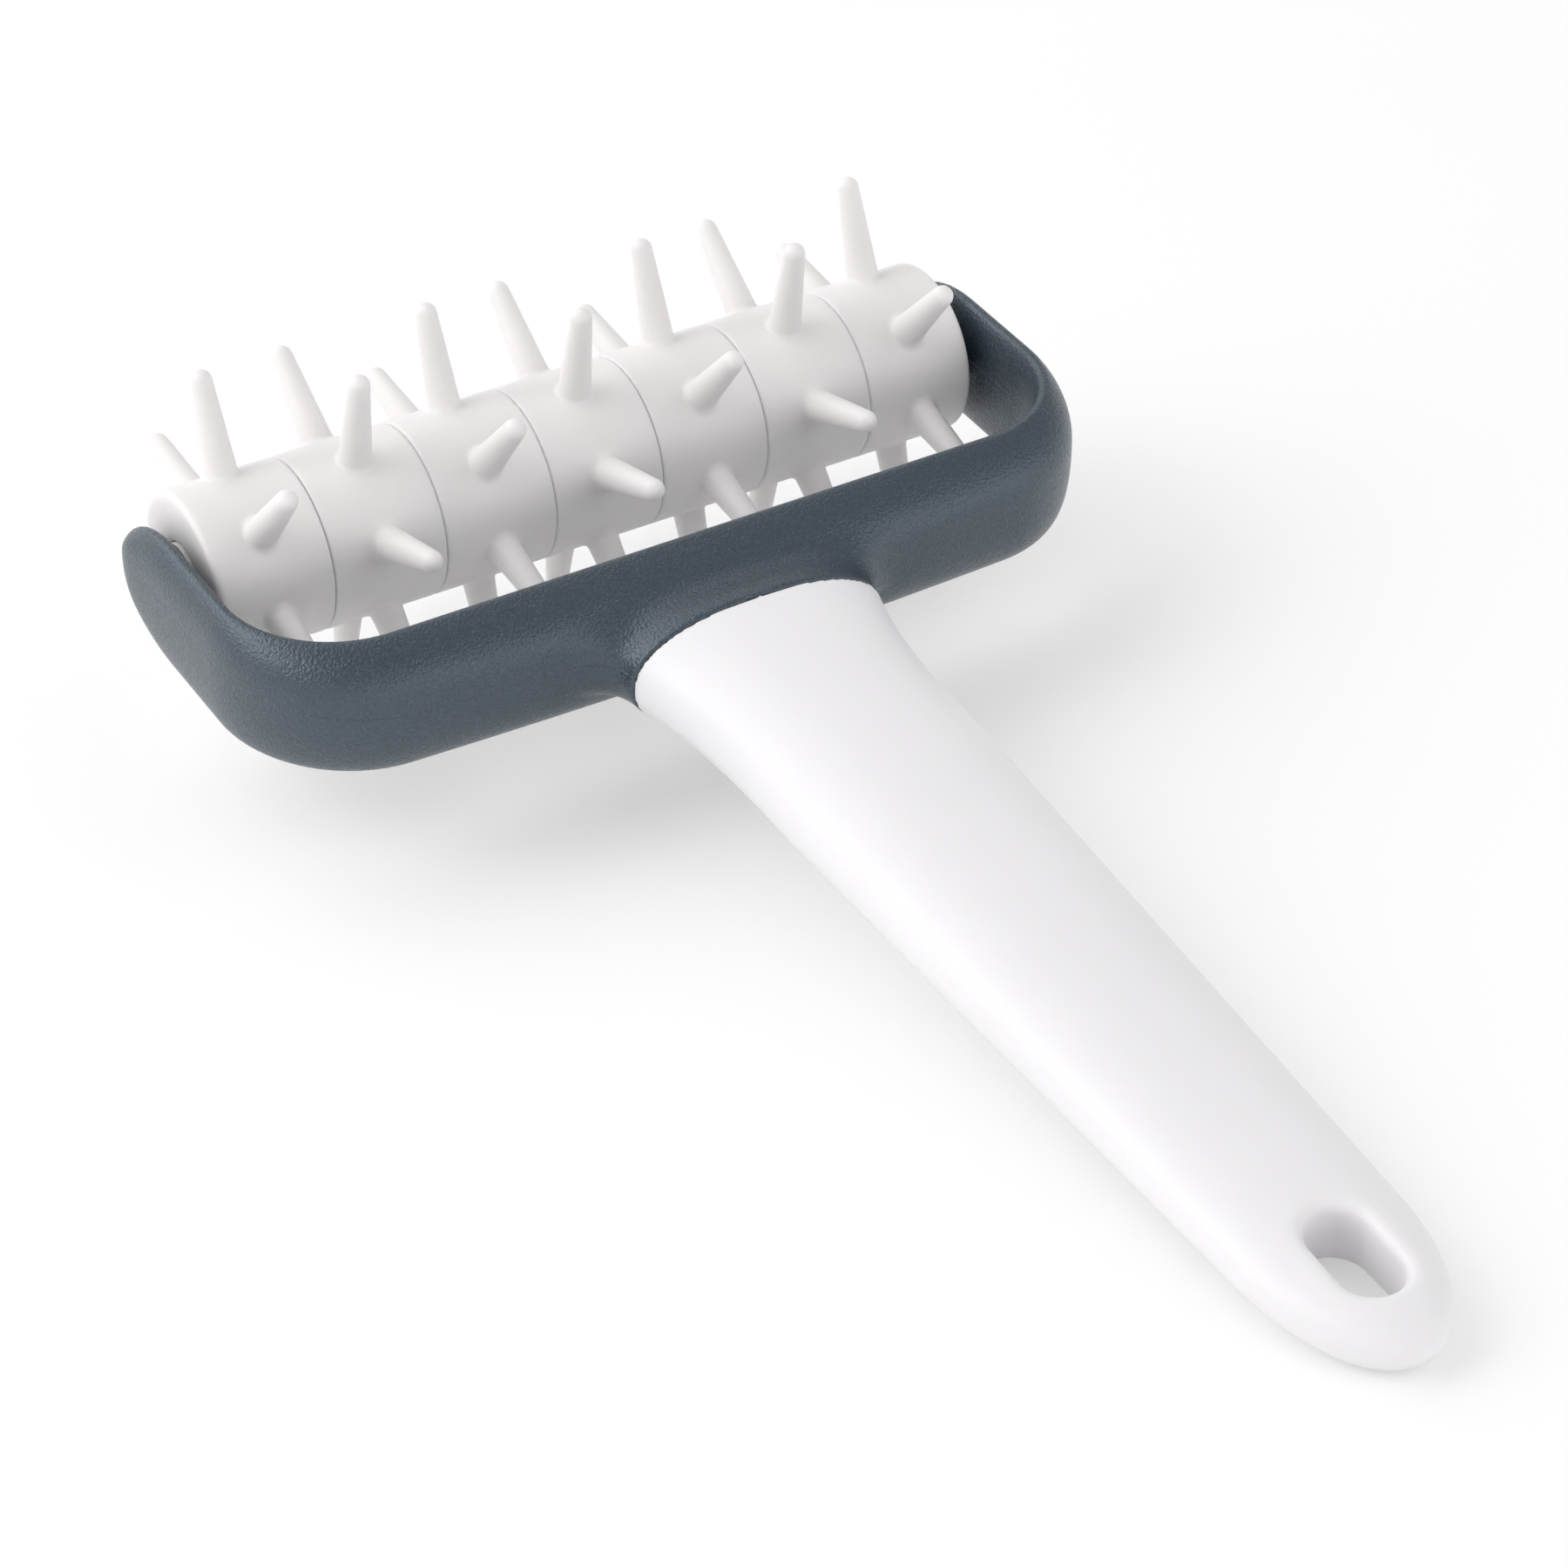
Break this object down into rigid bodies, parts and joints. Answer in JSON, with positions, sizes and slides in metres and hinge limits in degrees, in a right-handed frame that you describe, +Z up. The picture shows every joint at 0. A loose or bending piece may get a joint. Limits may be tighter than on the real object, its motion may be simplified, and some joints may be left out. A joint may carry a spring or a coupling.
{
  "type": "dough docker",
  "caption": "Dough docker: a roller of blunt staggered pins that turns on a rod in a U-shaped yoke, with a tapered handle that ends in a hanging slot.",
  "frame": {"origin": "on the floor, under the middle of the tool's box", "axes": "+X along the roller, +Y along the tool from the handle's end to the roller, +Z up; the tool stands on its pins and on the end of its handle"},
  "size_m": [0.1194, 0.2056, 0.0483],
  "materials": {
    "yoke_slate": "fine moulded grain, slate blue-grey",
    "handle_white": "satin, near white",
    "roller_white": "satin, white, slightly translucent",
    "inner_white": "natural moulded",
    "rod_steel": "drawn bar"
  },
  "bodies": {
    "frame": {"yoke": "yoke_slate", "handle": "handle_white", "axle_rod": "rod_steel"},
    "roller": {"hex_core": "inner_white", "right_end_bush": "inner_white", "left_end_bush": "inner_white", "pin_disc_1": "roller_white", "pin_disc_2": "roller_white", "pin_disc_3": "roller_white", "pin_disc_4": "roller_white", "pin_disc_5": "roller_white", "pin_disc_6": "roller_white", "pin_disc_7": "roller_white"}
  },
  "joints": [
    {"name": "roller_spin", "type": "hinge", "parent": "frame", "child": "roller", "pos_m": [0, 0.07864, 0.02419], "axis": [1, 0, 0], "continuous": true}
  ]
}
